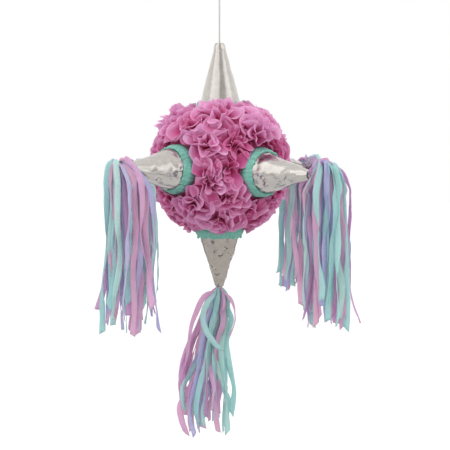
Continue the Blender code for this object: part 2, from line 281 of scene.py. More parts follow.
class Look(Nodes):
    """A material, with the textures that the finishes here are made of."""

    def __init__(self, name):
        self.made = bpy.data.materials.new(name)
        self.made.use_nodes = True
        super().__init__(self.made.node_tree)
        self.shader = self.tree.nodes["Principled BSDF"]
        self.end = self.tree.nodes["Material Output"]
        self.place = self.node("ShaderNodeTexCoord").outputs["Object"]

    def set(self, **inputs):
        for key, value in inputs.items():
            self.put(self.shader, key.replace("_", " "), value)

    def noise(self, scale, detail=3.0, at=None):
        inputs = {"Vector": at or self.place, "Scale": scale, "Detail": detail, "Roughness": 0.55}
        return self.node("ShaderNodeTexNoise", inputs).outputs["Fac"]

    def stretched(self, x, y, z):
        inputs = {"Vector": self.place, "Scale": (x, y, z)}
        return self.node("ShaderNodeMapping", inputs).outputs["Vector"]

    def cells(self, scale, feature="DISTANCE_TO_EDGE", at=None, output="Distance"):
        inputs = {"Vector": at or self.place, "Scale": scale}
        return self.node("ShaderNodeTexVoronoi", inputs, feature=feature).outputs[output]

    def value(self, name):
        """A value that the mesh's points carry."""
        return self.node("ShaderNodeAttribute", attribute_name=name).outputs["Fac"]

    def bump(self, height, distance, strength):
        inputs = {"Height": height, "Distance": distance, "Strength": strength}
        return self.node("ShaderNodeBump", inputs).outputs["Normal"]

    def let_light_through(self, colour, share, normal):
        """Thin paper: some of the light that falls on the far side shows on this one."""
        through = self.node("ShaderNodeBsdfTranslucent", {"Color": colour, "Normal": normal})
        inputs = {0: share, 1: self.shader.outputs[0], 2: through.outputs[0]}
        self.put(self.end, "Surface", self.node("ShaderNodeMixShader", inputs).outputs[0])


def petal_tissue():
    """Orchid-pink tissue, with painted shade that makes it deeper low in the folds, a painted highlight that
    makes it paler at the cut edge, and fine crinkles.
    """
    look = Look("petal_tissue")
    # Painted shade: the tissue is deeper pink low down between the folds and paler up towards the rims, by
    # its height over the shell, with some random mottling.
    body = look.ramp(
        look.add(look.value("rise"), look.noise(38.0), 0.25),
        (0.15, srgb(208, 52, 124)),
        (0.55, srgb(226, 104, 166)),
        (0.90, srgb(236, 164, 206)),
        (1.0, srgb(240, 192, 224)),
    )
    tone = look.ramp(look.value("tone"), (0.0, srgb(248, 226, 244)), (1.0, srgb(255, 250, 255)))
    body = look.mix(1.0, body, tone, "MULTIPLY")
    # Painted highlight: the cut rims are mixed towards a pale pink.
    edge = look.ramp(look.value("edge"), (0.92, 0.0), (1.0, 0.8))
    colour = look.mix(edge, body, srgb(252, 196, 234))
    creases = look.cells(95.0, at=look.stretched(1.0, 1.0, 0.6))
    crinkle = look.add(look.noise(420.0, 2.0), look.least(creases, 0.12), 3.0)
    normal = look.bump(crinkle, 0.0005, 0.35)
    look.set(Base_Color=colour, Roughness=0.82, Normal=normal, Sheen_Weight=0.25, Sheen_Roughness=0.5)
    look.let_light_through(colour, 0.36, normal)
    return look.made


def strip_tissue(name, deep, pale):
    """Streamer tissue: faint pressed lines along it, soft crumples, each strip a little different, and a
    painted highlight on its edges.
    """
    look = Look(name)
    drift = look.noise(1.0, 2.0, at=look.stretched(26.0, 26.0, 9.0))
    cloud = look.add(look.times(look.value("tone"), 0.7), drift, 0.5)
    colour = look.ramp(cloud, (0.25, deep), (0.95, pale))
    # Painted highlight: the strips' long edges and cut ends are mixed towards near white.
    edge = look.ramp(look.value("edge"), (0.9, 0.0), (1.0, 0.4))
    colour = look.mix(edge, colour, srgb(240, 240, 246))
    cell = look.cells(85.0, at=look.stretched(1.0, 1.0, 0.6))
    lines = look.noise(1.0, 2.0, at=look.stretched(900.0, 900.0, 120.0))
    normal = look.bump(look.add(look.times(look.least(cell, 0.25), 2.0), lines, 0.2), 0.0013, 0.8)
    look.set(Base_Color=colour, Roughness=0.75, Normal=normal, Sheen_Weight=0.2, Sheen_Roughness=0.5)
    look.let_light_through(colour, 0.55, normal)
    return look.made


def mint_crepe():
    """Crepe paper: fine crinkles that run across the band, with a painted highlight on their crests and
    painted shade in their troughs.
    """
    look = Look("mint_crepe")
    # Painted highlight and shade: the colour follows the crinkles' height, paler on the crests and darker in
    # the troughs and on the band's hidden inner side, with some random mottling.
    height = look.add(look.times(look.value("crinkle"), 0.7), look.noise(60.0, 4.0), 0.3)
    colour = look.ramp(
        height, (0.1, srgb(84, 158, 144)), (0.5, srgb(130, 202, 184)), (0.9, srgb(164, 218, 204)),
    )
    normal = look.bump(look.add(look.noise(900.0, 2.0), look.noise(260.0, 2.0)), 0.0004, 0.7)
    look.set(Base_Color=colour, Roughness=0.8, Normal=normal, Sheen_Weight=0.2)
    look.let_light_through(colour, 0.15, normal)
    return look.made


def silver_foil(name, dark, light):
    """Metallised paper: sharp little creases over broad facets, duller where it is rubbed."""
    look = Look(name)
    broad, small = look.least(look.cells(48.0), 0.10), look.least(look.cells(150.0), 0.08)
    normal = look.bump(look.add(broad, small, 0.35), 0.002, 0.10)
    colour = look.ramp(look.noise(90.0, 5.0), (0.3, dark), (0.7, light))
    dull = look.ramp(look.noise(35.0, 4.0), (0.3, 0.16), (0.7, 0.25))
    look.set(Base_Color=colour, Metallic=1.0, Roughness=dull, Normal=normal)
    return look.made


def fibrous(name, stretch, detail, dark, light, roughness, relief):
    """A finish of fibres that run one way. relief is how deep its bump is, and how strong."""
    look = Look(name)
    fibres = look.noise(1.0, detail, at=look.stretched(*stretch))
    colour = look.ramp(fibres, (0.3, srgb(*dark)), (0.7, srgb(*light)))
    look.set(Base_Color=colour, Roughness=roughness, Normal=look.bump(fibres, *relief))
    return look.made


def string_look():
    stretch = (2600.0, 2600.0, 500.0)
    return fibrous("string", stretch, 2.0, (176, 174, 170), (222, 220, 216), 0.85, (0.0002, 0.8))


def bare_wood():
    stretch = (25.0, 700.0, 700.0)
    return fibrous("turned_wood", stretch, 5.0, (168, 132, 88), (214, 182, 136), 0.65, (0.0003, 0.5))


def kraft_tape():
    stretch = (90.0, 500.0, 500.0)
    return fibrous("kraft_tape", stretch, 4.0, (160, 124, 80), (196, 160, 112), 0.55, (0.0002, 0.5))


def papier_mache():
    """Layers of torn newsprint and paste: dull grey-beige patches with raised torn edges."""
    look = Look("papier_mache")
    sheet = look.cells(24.0, "F1", output="Color")
    edge = look.least(look.cells(24.0), 0.06)
    tone = look.add(look.noise(160.0, 5.0), sheet, 0.35)
    colour = look.ramp(tone, (0.3, srgb(158, 146, 124)), (0.9, srgb(206, 197, 178)))
    normal = look.bump(look.add(edge, look.noise(300.0), 0.03), 0.003, 0.5)
    look.set(Base_Color=colour, Roughness=0.9, Normal=normal)
    return look.made


def grey_card():
    look = Look("rolled_card")
    fibre = look.noise(1.0, 4.0, at=look.stretched(220.0, 220.0, 60.0))
    colour = look.ramp(fibre, (0.3, srgb(150, 124, 92)), (0.7, srgb(188, 162, 126)))
    look.set(Base_Color=colour, Roughness=0.92, Normal=look.bump(look.noise(700.0), 0.0003, 0.5))
    return look.made


# ------------------------ the string, its loop and its knot
CORD_R = 0.00175
CORD_LAY = 0.011  # length of one turn of the string's three strands
CORD_SIDES = 12
CORD_STEP = 0.0012
CORD_WAIST = 0.84  # the least radius, between two strands, as a part of the whole
LOOP_TAPER = math.radians(18.0)  # how far each leg of the loop leans in towards the knot


def twisted_cord(name, route, look):
    """Three strands laid together: a tube whose outline has three soft lobes that turn along it."""
    turns = around(CORD_SIDES) - 2 * math.pi * run_along(route)[:, None] / CORD_LAY
    radius = CORD_R * (CORD_WAIST + (1 - CORD_WAIST) * np.abs(np.cos(1.5 * turns)))
    grids = Grids()
    grids.add(tube(route, BACK, radius), ring=True, caps=True)
    return grids.build(name, look)


def loop_route():
    """Up one leg, over the round top and down the other leg, inside the CAD loop's box."""
    low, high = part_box("hanging_loop")
    round_r = float(high.x) - CORD_R
    middle = (float(high.z) - CORD_R - round_r) * UP
    arc = np.linspace(-LOOP_TAPER, math.pi + LOOP_TAPER, 22)
    arch = [middle + round_r * np.array((math.cos(t), 0.0, math.sin(t))) for t in arc]
    foot_z = float(low.z) + CORD_R * math.sin(LOOP_TAPER)
    foot_x = arch[0][0] - math.tan(LOOP_TAPER) * (arch[0][2] - foot_z)
    return smooth_route([(foot_x, 0.0, foot_z), *arch, (-foot_x, 0.0, foot_z)], 0.0011)


def knot_route():
    """A trefoil, which is an overhand knot with its ends joined, as wide as the CAD knot."""
    size = (float(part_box("loop_knot")[1].x) - CORD_R) / 3
    t = np.linspace(0, 2 * math.pi, 70)
    out = 2 + np.cos(3 * t)
    wraps = np.stack([out * np.cos(2 * t), out * np.sin(2 * t), 1.9 * np.sin(3 * t)], 1)
    return box_middle("loop_knot") + size * wraps


def hanging_string(look):
    """The string along the CAD cord's straight line, its loop, and the knot under the loop."""
    bottom, top = (float(corner.z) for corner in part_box("hanging_cord"))
    route = np.linspace((0.0, 0.0, bottom), (0.0, 0.0, top), round((top - bottom) / CORD_STEP))
    string = twisted_cord("string", route, look)
    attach(string, "string")
    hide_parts("hanging_cord")

    loop = twisted_cord("loop", loop_route(), look)
    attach(loop, "hanger")
    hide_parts("hanging_loop")

    knot = twisted_cord("knot", knot_route(), look)
    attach(knot, "knot")
    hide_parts("loop_knot")


# ------------------------ foil cones
FOIL_AROUND, FOIL_ALONG = 150, 96
FOIL_SHEET = 0.0004
FOIL_OVER_CARD = 0.0002
FOIL_LAP = 0.0012  # how far the foil's overlapping edge stands off
FOIL_SHARP = math.radians(14.0)
SEAM_DEG = {
    "top": 205.0, "bottom": 330.0, "front_left": -24.0,
    "front_right": 196.0, "back_left": 40.0, "back_right": 150.0,
}
# facets round and along, and how deep they are; then the same for the small crumples
FACETS = {
    "top": (7, 2, 0.0036), "bottom": (8, 3, 0.0022), "front_left": (7, 2, 0.0036),
    "front_right": (9, 4, 0.0042), "back_left": (8, 3, 0.0036), "back_right": (8, 3, 0.0036),
}
CRUMPLES = {
    "top": (13, 5, 0.0012), "bottom": (22, 15, 0.0014), "front_left": (17, 9, 0.0022),
    "front_right": (17, 10, 0.0030), "back_left": (19, 12, 0.0016), "back_right": (19, 12, 0.0016),
}
CRUMPLED_ALL_OVER = {"bottom": 0.75}  # share of the crumples' depth away from the seam and the collar
CRUMPLED_LEAST = 0.12  # the same for the other cones
TIP_BUNCH = {"top": 0.0012}  # the foil is bunched up where the string comes out
DENTS = {"bottom": 40, "front_left": 4, "front_right": 6, "top": 2}
DENT_R, DENT_DEPTH = (0.0040, 0.0085), 0.0034
DEEPEST = -0.00005  # no crumple goes down into the card
THIN_AT = 0.028  # where a cone is thinner than this, its crumples are shallower
# how the foil folds in over the tip: the part of its radius, and how far up
CLOSING = ((0.78, 0.0006), (0.45, 0.0011), (0.0, 0.0009))


def facet_heights(rng, shape, u, v):
    """Random heights on a coarse lattice, joined by flat triangles. u runs round, v along, both 0 to 1."""
    columns, rows, depth = shape
    coarse = rng.uniform(-0.3, 1.0, (rows + 1, columns + 1)) * depth
    coarse[:, -1] = coarse[:, 0]
    # the lattice's lines wander, so that no two facets are alike
    row_ends, column_ends = np.arange(rows + 1), np.arange(columns + 1)
    shift_u = waves(rng, row_ends, (2.3, 5.1), 0.8)
    shift_v = waves(rng, column_ends, (2.7, 4.3), 0.35)
    u, v = u * columns, v * rows
    u = (u + np.interp(v, row_ends, shift_u)) % columns
    v = np.clip(v + np.interp(u, column_ends, shift_v), 0, rows - 1e-6)
    i, j = np.floor(v).astype(int), np.floor(u).astype(int) % columns
    a, b = v - i, u - np.floor(u)
    h00, h01, h10, h11 = coarse[i, j], coarse[i, j + 1], coarse[i + 1, j], coarse[i + 1, j + 1]
    lower = h00 + b * (h01 - h00) + a * (h10 - h00)
    upper = h11 + (1 - b) * (h10 - h11) + (1 - a) * (h01 - h11)
    return np.where(a + b < 1, lower, upper)


def dent_heights(rng, count, turn, along, bare):
    """Round dents pushed into the foil, each with a raised lip round its upper side."""
    heights = np.zeros_like(turn)
    low, high = along.min(), along.max()
    for _ in range(count):
        middle_turn = rng.uniform(0, 2 * math.pi)
        middle_along = low + (high - low) * rng.random() ** 1.3
        size = rng.uniform(*DENT_R)
        beside = (np.mod(turn - middle_turn + math.pi, 2 * math.pi) - math.pi) * bare
        past = along - middle_along
        away = np.hypot(beside, past) / size
        lip = np.exp(-(((away - 1.0) / 0.25) ** 2)) * (1 + 0.6 * np.sin(np.arctan2(past, beside) + size))
        heights += DENT_DEPTH * size / DENT_R[1] * (0.5 * lip - 0.7 * np.exp(-(away**3)))
    return heights


def foil_heights(rng, which, u, v, turn, along, bare):
    """How far the facets, the crumples and the dents stand out from the smooth cone."""
    facets = facet_heights(rng, FACETS[which], u, v)
    # crumples are thick at the seam and by the collar, and thin out between
    near_seam = np.exp(-(((u + 0.5) % 1 - 0.5) / 0.16) ** 2)
    near_collar = np.exp(-(v / 0.22) ** 2)
    where = np.clip(CRUMPLED_ALL_OVER.get(which, CRUMPLED_LEAST) + near_seam + 0.8 * near_collar, 0, 1)
    heights = facets + where * facet_heights(rng, CRUMPLES[which], u, v)
    heights = heights + dent_heights(rng, DENTS.get(which, 0), turn, along, bare)
    return np.maximum(heights, DEEPEST)


def foil_cone(which, look, seed):
    """Foil paper rolled round the card cone, lapped along a seam, and folded in over the tip."""
    rng = np.random.default_rng(seed)
    cone = CONE[which]
    v, u = np.meshgrid(np.linspace(0, 1, FOIL_ALONG + 1), np.linspace(0, 1, FOIL_AROUND + 1), indexing="ij")
    along = cone.base + (cone.tip - 0.0008 - cone.base) * v
    bare = cone.radius(along)
    turn = math.radians(SEAM_DEG[which]) + 2 * math.pi * u
    heights = foil_heights(rng, which, u, v, turn, along, bare)
    lap = FOIL_LAP * u**3 * (1 + 0.5 * waves(rng, v, (0.21, 0.37)))
    bunched = TIP_BUNCH.get(which, 0.0) * np.exp(-(((v - 0.965) / 0.045) ** 2))
    bunched = bunched * (1 + 0.3 * np.sin(5 * turn))
    outer = bare + FOIL_OVER_CARD + lap * np.minimum(1, bare / 0.02)
    outer = outer + heights * np.minimum(1, bare / THIN_AT) + bunched

    hole = CORD_R + 0.0006 if which == "top" else 0.0004
    folds = 1 + 0.10 * np.sin(7 * turn[:1] + 1.0)
    outer = np.concatenate([outer, *(np.maximum(hole, outer[-1:] * part * folds) for part, _ in CLOSING)])
    along = np.concatenate([along, *(along[-1:] + more for _, more in CLOSING)])
    turn = np.broadcast_to(turn[:1], outer.shape)
    inner = np.maximum(outer - FOIL_SHEET, hole * 0.9)
    sheet = np.concatenate([cone.place(outer, turn, along), cone.place(inner, turn, along - 0.0002)[::-1]])
    grids = Grids()
    grids.add(sheet, tube=True, ring=True)
    made = grids.build(f"foil_{which}", look)
    made.data.set_sharp_from_angle(angle=FOIL_SHARP)
    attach(made, "pinata")
    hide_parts(f"cone_foil_{which}")


# ------------------------ crepe collars
def pleats(rng, turn, counts):
    """Folds round a ring, of several counts at once, so that they never look even."""
    return sum(np.sin(n * turn + rng.uniform(0, 2 * math.pi)) for n in counts) / math.sqrt(len(counts))


COLLAR_SIDES = 300
# radius, and distance past the collar's back: the back of the band and its puffed face
COLLAR_BAND = (
    (0.0484, 0.0004), (0.0498, 0.004), (0.0504, 0.008), (0.0505, 0.012), (0.0502, 0.016), (0.0494, 0.0195),
    (0.0480, 0.0225), (0.0464, 0.0250), (0.0462, 0.0268),
)
# radius, and distance past the collar's rim: the twisted edge, and down on to the foil
COLLAR_EDGE = ((0.0457, 0.0000), (0.0444, 0.0014), (0.0428, 0.0014), (0.0415, -0.0008))


def crepe_collar(which, look, seed):
    """A puffed band of crepe with fine crinkles across it, gathered into a twisted edge on the foil."""
    rng = np.random.default_rng(seed)
    cone = CONE[which]
    span = (node_points(f"collar_{which}") - BALL) @ cone.axis
    back, rim = span.min(), span.max()
    turn = around(COLLAR_SIDES)
    profile = np.array([(r, back + z) for r, z in COLLAR_BAND] + [(r, rim + z) for r, z in COLLAR_EDGE])
    run = np.linspace(0, 1, len(profile))[:, None]
    fine = pleats(rng, turn[None, :] + 0.05 * run, rng.integers(26, 62, 9))
    broad = pleats(rng, turn, (5, 8, 11, 13))[None, :]
    lumps = pleats(rng, turn, (17, 22, 27, 31))[None, :]
    band = np.sin(math.pi * np.clip(run / 0.62, 0, 1)) ** 0.6
    edge = np.exp(-(((run - 0.78) / 0.15) ** 2))
    twist = np.sin(26 * turn[None, :] + 8.0 * run + 2.5 * broad)
    out = 0.00030 * fine * (0.3 + 0.7 * band) + 0.0006 * broad * band
    out = out + edge * (0.0009 * twist * (0.7 + 0.5 * lumps) + 0.0006 * lumps)
    radius = profile[:, :1] + out
    along = profile[:, 1:] + edge * (0.0009 * lumps + 0.0016 * broad)
    radius[-1] = cone.radius(along[-1]) + 0.0011
    face = cone.place(radius, np.broadcast_to(turn, radius.shape), along)
    foot = [(cone.radius(z) + 0.0010, z) for z in (rim - 0.004, back + 0.009)] + [(0.0470, back + 0.0004)]
    flat = np.ones(COLLAR_SIDES)
    inside = np.stack([cone.place(flat * r, turn, flat * z) for r, z in foot])
    # crinkle carries the folds' height for the painted highlight and shade; the inner rings get a low value,
    # which paints shade on them.
    crinkle = 0.5 + 0.16 * fine * band + 0.22 * twist * edge
    crinkle = np.concatenate([crinkle, np.full((len(foot), COLLAR_SIDES), 0.2)])
    grids = Grids()
    grids.add(np.concatenate([face, inside]), ring=True, tube=True, crinkle=crinkle)
    made = grids.build(f"crepe_{which}", look)
    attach(made, "pinata")
    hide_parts(f"collar_{which}")


# ------------------------ gathered tissue
BUNDLES = 38  # bunches of tissue over what the collars and the flap leave free
TISSUE_FOOT = BALL_R + 0.0012
RIM_HEIGHT = (0.0240, 0.0300, 0.0440)  # of a bunch over the shell: at the ball's bottom, middle and top
FLATTER = 0.35  # the bunches on the upper left are pressed down by this share of their height
CELL_MOST = 0.036  # the furthest that a bunch reaches
CELL_LEAST = 0.012  # the least room that a bunch is given towards a collar
# each frill of a bunch: the parts of the bunch's reach that its foot and its rim take, the part of its
# height, its folds, how far they swing, and the sides it is cut into
FRILLS = (
    (0.05, 1.30, 0.20, 6, 0.0030, 48),
    (0.24, 1.14, 0.86, 5, 0.0104, 112),
    (0.18, 0.82, 0.98, 4, 0.0098, 90),
    (0.11, 0.50, 1.00, 3, 0.0080, 64),
    (0.04, 0.22, 0.94, 2, 0.0048, 36),
)
FRILL_ROWS = 8
COLLAR_CLEAR_R = 0.0524  # the tissue stays outside this radius round a cone's axis
COLLAR_CLEAR_SLOPE = {"top": -0.20, "bottom": 0.25, "side": 0.50}  # how the tissue leans away from a collar
OVERHANG = 0.25  # how it leans over the collars instead, between two cones
FLAP_TILT = math.radians(35.0)
FLAP_OUT = np.array((0.0, math.cos(FLAP_TILT), math.sin(FLAP_TILT)))
FLAP_UP = np.array((0.0, -math.sin(FLAP_TILT), math.cos(FLAP_TILT)))
FLAP_HALF_WIDTH = float(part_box("fill_flap")[1].x)
FLAP_HALF_HEIGHT = float(((node_points("fill_flap") - BALL) @ FLAP_UP).max())
FLAP_CLEAR = 0.0012
# up the ball from the flap's middle: where the flap's own tissue ends, and where the field's starts
VALLEY = (0.026, 0.0462)
VALLEY_MIDDLE = (VALLEY[0] + VALLEY[1]) / 2
VALLEY_LEAN = (0.50, 0.30)  # how they lean apart above the shell, so that the flap can open
# places across the flap and up the ball, how far each bunch reaches there, and how big it is
HINGE_BUNCHES = (((-0.023, VALLEY_MIDDLE), (0.0, VALLEY_MIDDLE), (0.023, VALLEY_MIDDLE)), 0.018, 0.9)
FLAP_BUNCHES = (((-0.018, -0.017), (0.018, -0.017), (-0.018, 0.012), (0.018, 0.012)), 0.019, 0.85)
DRIFT_LENGTHS = (0.048, 0.053, 0.060, 0.068, 0.075, 0.085)
DRIFT_MOST = 0.0019


def drift_waves():
    """A few waves through the air round the ball, each with its own way, phase and push."""
    rng = np.random.default_rng(8)
    return [
        (unit(rng.normal(size=3)) * 2 * math.pi / length, rng.uniform(0, 6.3), unit(rng.normal(size=3)))
        for length in DRIFT_LENGTHS
    ]


DRIFT = drift_waves()


def drifted(points, height):
    """The whole tissue pushed about together, more towards its rims, so that neighbours stay apart."""
    shift = sum(np.sin(points @ k + phase)[..., None] * way for k, phase, way in DRIFT)
    outward = unit(points)
    shift = shift - (shift * outward).sum(-1, keepdims=True) * outward
    return points + DRIFT_MOST * np.minimum(1, height / 0.025)[..., None] * shift


def frill(rng, grids, to_ball, reach, height, shape, bunch, tone):
    """A gathered ring of tissue, from its foot up to its cut rim."""
    foot, rim, tall, folds, swing, sides = shape
    turn = around(sides)[None, :]
    share = np.linspace(0, 1, FRILL_ROWS + 1)[:, None]
    phase = rng.uniform(0, 2 * math.pi, 6)
    # the folds of one bunch follow each other, but not closely
    wander = 0.8 * np.sin(turn + bunch[0]) + 0.35 * np.sin(2 * turn + phase[0])
    main = folds * turn + wander + phase[1]
    small = np.sin((2 * folds + 1) * turn + phase[2])
    deep = 1 + 0.35 * np.sin(2 * turn + phase[3])
    fold = np.sin(main) + 0.20 * small
    spread = reach(turn)
    radius = spread * (foot + (rim - foot) * share**0.75) + swing * deep * share**1.15 * fold
    # the folds are wider at their crests than at their necks
    lean = -0.42 / folds * share**1.3 * np.sin(2 * main + 0.4)
    square = turn + bunch[1] + phase[5] * 0.2
    corner = (np.abs(np.cos(square)) ** 6 + np.abs(np.sin(square)) ** 6) ** (-1 / 6)
    top = height * tall * (0.88 + 0.50 * (corner - 1)) * (1 + 0.06 * small)
    level = 0.0006 + top * share**0.85 + swing * 0.45 * share**1.6 * np.cos(main + 0.8)
    level = level - 0.10 * top * share**6 * (1 + np.sin(main + phase[3]))
    angle = turn + lean
    points = to_ball(radius * np.cos(angle), radius * np.sin(angle), np.maximum(level, 0.0003))
    # rise, the height over the shell, sets the tissue's painted shade: deeper pink low down.
    rise = np.clip(np.linalg.norm(points - BALL, axis=-1) - TISSUE_FOOT, 0, 1) / height
    # edge, from foot to rim, places the tissue's painted highlight on the cut rim.
    grids.add(points, ring=True, rise=rise, edge=share, tone=tone)


def bunch_of_frills(rng, grids, direction, reach_of, keep_clear, size=1.0):
    """Sheets of tissue pinched together in their middle: frills one inside another."""
    height = np.interp((direction[2] + 1) / 2, (0, 0.5, 1), RIM_HEIGHT) * rng.uniform(0.92, 1.08) * size
    height *= 1 - FLATTER * max(0.0, direction[2]) * max(0.0, -direction[0])
    lean = 0.12 * rng.normal(size=3) + (0, 0, 0.06)
    side = unit(np.cross(direction, rng.normal(size=3)))
    other = np.cross(direction, side)

    def to_ball(x, y, level):
        flat = BALL_R * direction + x[..., None] * side + y[..., None] * other
        points = unit(flat) * (TISSUE_FOOT + level)[..., None] + (level**1.2 * 2.0)[..., None] * lean
        return BALL + keep_clear(drifted(points, level))

    def reach(turn):
        return reach_of(side, other, turn)

    bunch = rng.uniform(0, 2 * math.pi, 2)
    tone = rng.uniform(0, 1)
    for shape in FRILLS:
        folds = max(2, shape[3] + int(rng.integers(-1, 2)))
        swing = shape[4] * size * rng.uniform(0.9, 1.15)
        shape = (*shape[:3], folds, swing, shape[5])
        frill(rng, grids, to_ball, reach, height, shape, bunch, 0.6 * tone + 0.4 * rng.random())


def clear_of_collars(points):
    """Moves points out of the room that the collars and cones stand in."""
    for which, cone in CONE.items():
        along = points @ cone.axis
        across = points - along[..., None] * cone.axis
        away = np.linalg.norm(across, axis=-1)
        slope = COLLAR_CLEAR_SLOPE.get(which, COLLAR_CLEAR_SLOPE["side"])
        if which in SIDE_CONES:
            # between two cones, in front and behind, the tissue hangs over the collars instead
            between = across @ (cone.x * np.sign(cone.x[1] * cone.axis[1])) / np.maximum(away, 1e-9)
            slope = slope - (slope + OVERHANG) * np.clip(between, 0, 1) ** 2
        clear_r = COLLAR_CLEAR_R + slope * np.maximum(0, along - BALL_R)
        wanted = np.where(along > 0, np.maximum(away, clear_r), away)
        points = along[..., None] * cone.axis + across * (wanted / np.maximum(away, 1e-9))[..., None]
    return points


def flap_place(points):
    """Where points are across the flap and up the ball from its middle."""
    return points[..., 0], points @ FLAP_UP


def slid(points, across, up):
    """The points moved this far across the flap and up the ball."""
    return points + across[..., None] * RIGHT + up[..., None] * FLAP_UP


def over_shell(points):
    """How far the points are above the shell."""
    return np.maximum(0, np.linalg.norm(points, axis=-1) - BALL_R)


def outside_flap(points):
    """Moves the fields' points out of the room that the flap's tissue and its hinge need."""
    points = clear_of_collars(points)
    x, up = flap_place(points)
    low = -FLAP_HALF_HEIGHT - FLAP_CLEAR
    high = VALLEY[1] + VALLEY_LEAN[1] * over_shell(points)
    middle, half = (high + low) / 2, (high - low) / 2
    wide = FLAP_HALF_WIDTH + 2 * FLAP_CLEAR
    # 1 on the border of this nearly square room, and less inside it
    near = (np.abs(x / wide) ** 12 + np.abs((up - middle) / half) ** 12) ** (1 / 12)
    push = np.where((points @ FLAP_OUT > 0) & (near < 1), 1 / np.maximum(near, 0.05) - 1, 0)
    return slid(points, push * x, push * (up - middle))


def inside_flap(points):
    """Keeps the flap's own tissue over the flap."""
    x, up = flap_place(points)
    wide = FLAP_HALF_WIDTH - 0.0016 * (1 + np.sin(190.0 * up + 90.0 * over_shell(points)))
    new_x = wide * np.tanh(x / wide * 1.15)
    new_up = np.clip(up, -FLAP_HALF_HEIGHT + FLAP_CLEAR, VALLEY[0] - VALLEY_LEAN[0] * over_shell(points))
    return slid(points, new_x - x, new_up - up)


def over_valley(points):
    """Keeps the tissue that bridges the hinge between the field's tissue and the flap's."""
    x, up = flap_place(points)
    wide = FLAP_HALF_WIDTH - FLAP_CLEAR
    new_x = wide * np.tanh(x / wide * 1.05)
    half = (VALLEY[1] - VALLEY[0]) / 2 - 0.0006 + VALLEY_LEAN[1] * over_shell(points)
    new_up = VALLEY_MIDDLE + half * np.tanh((up - VALLEY_MIDDLE) / half)
    return slid(points, new_x - x, new_up - up)


def even_directions(count):
    """Directions spread evenly over a whole ball, along a spiral."""
    z = 1 - (2 * np.arange(count) + 1) / count
    turn = math.pi * (3 - math.sqrt(5)) * np.arange(count)
    flat = np.sqrt(1 - z * z)
    return np.stack([flat * np.cos(turn), flat * np.sin(turn), z], 1)


def bunch_directions():
    """Directions over what the collars and the flap leave free, each moved to its cell's middle."""
    rng = np.random.default_rng(5)
    spots = even_directions(9000)
    x, up = flap_place(BALL_R * spots)
    on_flap = (np.abs(x) < FLAP_HALF_WIDTH) & (up > -FLAP_HALF_HEIGHT) & (up < VALLEY[1])
    free = ~((spots @ FLAP_OUT > 0) & on_flap)
    for cone in CONE.values():
        free &= spots @ cone.axis < math.cos(math.asin(COLLAR_CLEAR_R / BALL_R))
    spots = spots[free]
    found = spots[rng.choice(len(spots), BUNDLES, replace=False)]
    for _ in range(14):
        nearest = (spots @ found.T).argmax(1)
        found = unit(np.array([spots[nearest == k].mean(0) for k in range(BUNDLES)]))
    return found


def cell_reach(directions, direction):
    """How far a bunch reaches, in each direction round it, before it meets its neighbours or a collar."""
    near = directions @ direction
    near = directions[(near > math.cos(math.radians(50.0))) & (near < 0.9999)]
    flat = BALL_R * near / (near @ direction)[:, None]

    def reach(side, other, turn):
        way = np.cos(turn)[..., None] * side + np.sin(turn)[..., None] * other
        ahead = np.maximum(way @ flat.T, 1e-6)
        offsets = flat - BALL_R * direction
        borders = (offsets**2).sum(1) / (2 * ahead)
        found = np.minimum(borders.min(-1), CELL_MOST)
        for cone in CONE.values():
            angle = math.acos(direction @ cone.axis)
            if angle > math.radians(60.0):
                continue
            room = BALL_R * math.tan(angle - math.asin(COLLAR_CLEAR_R / BALL_R)) + 0.002
            towards = way @ unit(cone.axis - (cone.axis @ direction) * direction)
            found = np.minimum(found, max(room, CELL_LEAST) / np.maximum(towards, 1e-6))
        spread = len(turn.ravel()) // 12
        window = np.hanning(2 * spread + 3)[1:-1]
        wrapped = np.concatenate([found.ravel()[-spread:], found.ravel(), found.ravel()[:spread]])
        return np.convolve(wrapped, window / window.sum(), "valid")[None, :]

    return reach


def field_of(direction):
    turn = math.degrees(math.atan2(direction[1], direction[0])) % 360
    side = min(SIDES, key=lambda s: abs((turn - SIDES[s] + 180) % 360 - 180))
    return f"{'upper' if direction[2] > 0 else 'lower'}_{side}"


def bunches_by_flap(rng, bunches, keep_clear):
    places, reach, size = bunches
    grids = Grids()
    for x, up in places:
        direction = unit(BALL_R * FLAP_OUT + up * FLAP_UP + x * RIGHT)
        bunch_of_frills(rng, grids, direction, lambda side, other, turn: reach + 0 * turn, keep_clear, size)
    return grids


def gathered_tissue(look):
    """The eight fields between the cones, the flap's own tissue, and the tissue that bridges its hinge."""
    rng = np.random.default_rng(11)
    fields = {f"{level}_{side}": Grids() for level in ("upper", "lower") for side in SIDES}
    directions = bunch_directions()
    for direction in directions:
        grids = fields[field_of(direction)]
        bunch_of_frills(rng, grids, direction, cell_reach(directions, direction), outside_flap)
    for name, grids in fields.items():
        made = grids.build(f"petals_{name}", look)
        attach(made, "pinata")
        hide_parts(f"ruffle_{name}")

    made = bunches_by_flap(rng, HINGE_BUNCHES, over_valley).build("petals_hinge", look)
    field_edge, flap_edge = (BALL + BALL_R * FLAP_OUT + up * FLAP_UP for up in (VALLEY[1], VALLEY[0]))
    tuple(field_edge)
    tuple(flap_edge)
    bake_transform(made)

    made = bunches_by_flap(rng, FLAP_BUNCHES, inside_flap).build("petals_flap", look)
    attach(made, "flap")
    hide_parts("ruffle_flap")


# ------------------------ tassels
STRIP_WIDTH = 0.0128
STRIP_THICKNESS = 0.00028
STRIP_STEP = 0.0062
STRIP_SLANT = 0.008  # how far one corner of a strip's cut end is past the other, at most
NECK_R = 0.0042
NECK_PAST = 0.0008  # where the strips are gathered, past the cone's tip
NECK_LONG = 0.034  # a strip opens from its gathered neck to its full width along this
GOLDEN_TURN = 0.381966  # part of a turn between one strip and the next, so that they spread evenly
LOW_PARTS = 9  # places along the hanging part of a strip
MINT, LAVENDER, PINK = 0, 1, 2


def smooth_rise(share):
    share = np.clip(share, 0, 1)
    return share * share * (3 - 2 * share)


